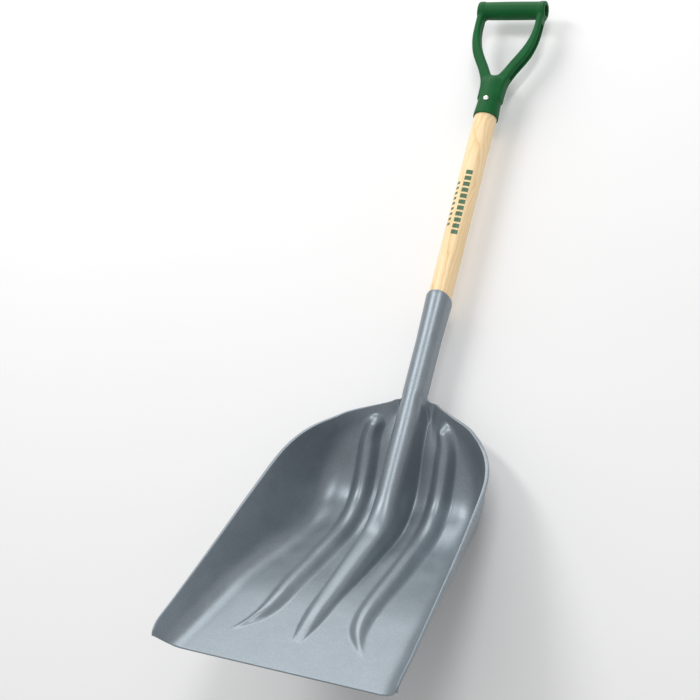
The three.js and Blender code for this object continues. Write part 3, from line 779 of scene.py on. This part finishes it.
def printed_mark(m, xyz, pore):
    """Where the plain printed bars lie on the front of the shaft: a wide row beside a narrow one."""
    total = None
    for low_u, high_u, low_s, high_s, pitch, share in (
            (-2.0, 9.0, -62.0, 58.0, 11.0, 0.7), (-14.0, -8.0, -46.0, 38.0, 9.5, 0.5)):
        along = m.math("ADD", xyz.outputs["Y"], -(SHIFT_S + low_s) / 1000)
        count = m.math("MULTIPLY", along, 1000 / pitch)
        bar = m.math("LESS_THAN", m.math("FRACT", count), share)
        inside = m.math("MULTIPLY", bar, m.math("GREATER_THAN", along, 0.0))
        inside = m.math("MULTIPLY", inside, m.math("LESS_THAN", along, (high_s - low_s) / 1000))
        inside = m.math("MULTIPLY", inside, m.math("GREATER_THAN", xyz.outputs["X"], low_u / 1000))
        inside = m.math("MULTIPLY", inside, m.math("LESS_THAN", xyz.outputs["X"], high_u / 1000))
        total = inside if total is None else m.math("MAXIMUM", total, inside)
    front = m.math("GREATER_THAN", xyz.outputs["Z"], AXIS_N / 1000)
    worn = m.math("SUBTRACT", 0.95, m.math("MULTIPLY", pore, 0.6))
    return m.math("MULTIPLY", m.math("MULTIPLY", total, front), worn)


def ash_wood():
    """Clear-varnished ash with long growth-ring lines, pores and a plain green printed mark."""
    m = Shader("ash_wood")
    axis = AXIS_N / 1000
    drift = m.noise(2.2, 2.0, 0.5, m.stretched(1.0, 1.4, 1.0))
    wobble = m.noise(9.0, 3.0, 0.55, m.stretched(4.0, 0.9, 4.0))
    xyz = m.node("ShaderNodeSeparateXYZ", {"Vector": m.place})
    across = m.math("ADD", xyz.outputs["X"], m.remap(drift, 0.3, 0.7, -0.028, 0.028))
    depth = m.math("ADD", xyz.outputs["Z"], 0.030 - axis)
    across_squared = m.math("MULTIPLY", across, across)
    depth_squared = m.math("MULTIPLY", depth, depth)
    ring = m.math("SQRT", m.math("ADD", across_squared, depth_squared))
    ring = m.math("ADD", ring, m.remap(wobble, 0.3, 0.7, -0.0022, 0.0022))
    wave = m.math("FRACT", m.math("MULTIPLY", ring, 290.0))
    tone = m.ramp(wave, [
        (0.0, (0.80, 0.51, 0.23)), (0.14, (0.90, 0.64, 0.33)), (0.5, (0.95, 0.72, 0.42)),
        (0.86, (0.93, 0.68, 0.37)), (1.0, (0.80, 0.51, 0.23)),
    ])
    broad = m.noise(5.0, 2.0, 0.5, m.stretched(6.0, 1.0, 6.0))
    tone = m.blend(m.remap(broad, 0.35, 0.65, 0.0, 0.35), tone, (0.97, 0.80, 0.53))
    pores = m.noise(1.0, 3.0, 0.7, m.stretched(1500.0, 28.0, 1500.0))
    pore = m.remap(pores, 0.60, 0.72, 0.0, 0.35)
    tone = m.blend(pore, tone, (0.66, 0.45, 0.24))
    tone = m.blend(printed_mark(m, xyz, pore), tone, (0.012, 0.115, 0.045))
    m.link(tone, "Base Color")
    m.link(m.remap(wobble, 0.3, 0.7, 0.36, 0.48), "Roughness")
    m.link(m.bump(pores, 0.12, 0.0003), "Normal")
    m.set(Coat_Weight=0.25, Coat_Roughness=0.22)
    return m.material


def green_plastic():
    """Dark green moulded plastic with a faint mould texture."""
    m = Shader("green_plastic")
    clouds = m.noise(30.0, 4.0, 0.6)
    grain = m.noise(900.0, 2.0, 0.5)
    tone = m.ramp(clouds, [(0.3, (0.003, 0.080, 0.018)), (0.7, (0.004, 0.102, 0.024))])
    m.link(m.blend(m.remap(grain, 0.35, 0.65, 0.0, 0.25), tone, (0.008, 0.14, 0.038)), "Base Color")
    m.link(m.remap(clouds, 0.3, 0.7, 0.42, 0.52), "Roughness")
    m.link(m.bump(grain, 0.10, 0.0002), "Normal")
    m.set(IOR=1.4, Specular_IOR_Level=0.25)
    return m.material


def zinc_steel():
    """Zinc-plated steel with light turning marks."""
    m = Shader("zinc_steel")
    scratch = m.noise(1.0, 2.0, 0.6, m.stretched(900.0, 900.0, 200.0))
    m.link(m.ramp(scratch, [(0.3, (0.62, 0.63, 0.63)), (0.7, (0.80, 0.81, 0.82))]), "Base Color")
    m.link(m.remap(scratch, 0.3, 0.7, 0.22, 0.36), "Roughness")
    m.set(Metallic=1.0)
    return m.material


def studio_floor():
    m = Shader("studio_floor")
    m.link(m.ramp(m.noise(1.5), [(0.3, (0.86, 0.86, 0.86)), (0.7, (0.88, 0.88, 0.88))]), "Base Color")
    m.set(Roughness=0.8)
    return m.material


# ---- studio -------------------------------------------------------------------------------

def add_camera():
    """The photograph's view: from the front right of the scoop, high above, rolled to the left."""
    place = Vector(to_row((763.9, -929.7, 1781.4)))
    aim = Vector(to_row((-129.9, -273.0, 0.0)))
    data = bpy.data.cameras.new("camera")
    data.sensor_width = 36
    data.lens = 66.9
    camera = bpy.data.objects.new("camera", data)
    turn = (aim - place).to_track_quat("-Z", "Y").to_matrix().to_4x4()
    camera.matrix_world = Matrix.Translation(place) @ turn @ Matrix.Rotation(math.radians(-42.68), 4, "Z")
    bpy.context.scene.collection.objects.link(camera)
    bpy.context.scene.camera = camera


def add_softbox(name, towards, distance, size, power, aim=(0.0, -0.15, 0.05)):
    """A rectangular softbox at a direction and distance from the shovel, facing it."""
    data = bpy.data.lights.new(name, "AREA")
    data.shape = "RECTANGLE"
    data.size, data.size_y = size
    data.energy = power
    light = bpy.data.objects.new(name, data)
    aim = Vector(aim)
    place = aim + Vector(towards).normalized() * distance
    light.location = place
    light.rotation_euler = (aim - place).to_track_quat("-Z", "Y").to_euler()
    bpy.context.scene.collection.objects.link(light)


def add_studio():
    half = 9.0
    mesh = bpy.data.meshes.new("floor")
    corners = [(-half, -half, 0), (half, -half, 0), (half, half, 0), (-half, half, 0)]
    mesh.from_pydata(corners, [], [(0, 1, 2, 3)])
    mesh.materials.append(studio_floor())
    floor = bpy.data.objects.new("floor", mesh)
    floor.location.z = -0.0005
    bpy.context.scene.collection.objects.link(floor)

    world = bpy.data.worlds.new("studio")
    world.use_nodes = True
    world.node_tree.nodes["Background"].inputs["Color"].default_value = (1.0, 1.0, 1.0, 1)
    world.node_tree.nodes["Background"].inputs["Strength"].default_value = 0.5
    bpy.context.scene.world = world
    add_softbox("left_box", (-0.52, 0.31, 0.79), 3.2, (0.42, 1.5), 26)
    add_softbox("right_box", (0.20, 0.31, 0.93), 3.2, (0.42, 1.5), 24)
    add_softbox("back_box", (-0.35, 1.0, 0.42), 3.4, (3.2, 1.8), 52)
    bpy.context.scene.view_settings.view_transform = "Standard"


# ---- assembly -----------------------------------------------------------------------------

add_camera()
zinc = zinc_steel()
add_piece("scoop_blade_moulding", *scoop_blade_mesh(), "silver_plastic", "scoop_blade", silver_plastic())
add_piece("ash_shaft", *shaft_mesh(), "ash_wood", "shaft", ash_wood())
add_piece("d_grip_moulding", *d_grip_mesh(), "green_plastic", "d_grip", green_plastic())
add_piece("grip_rivet_domed", *rivet_mesh(), "zinc_steel", "grip_rivet", zinc)
add_piece("grip_rivet_burr", *washer_mesh(), "zinc_steel", "grip_rivet_washer", zinc)
add_piece("socket_screw_countersunk", *screw_mesh(), "zinc_steel", "socket_screw", zinc)
add_studio()
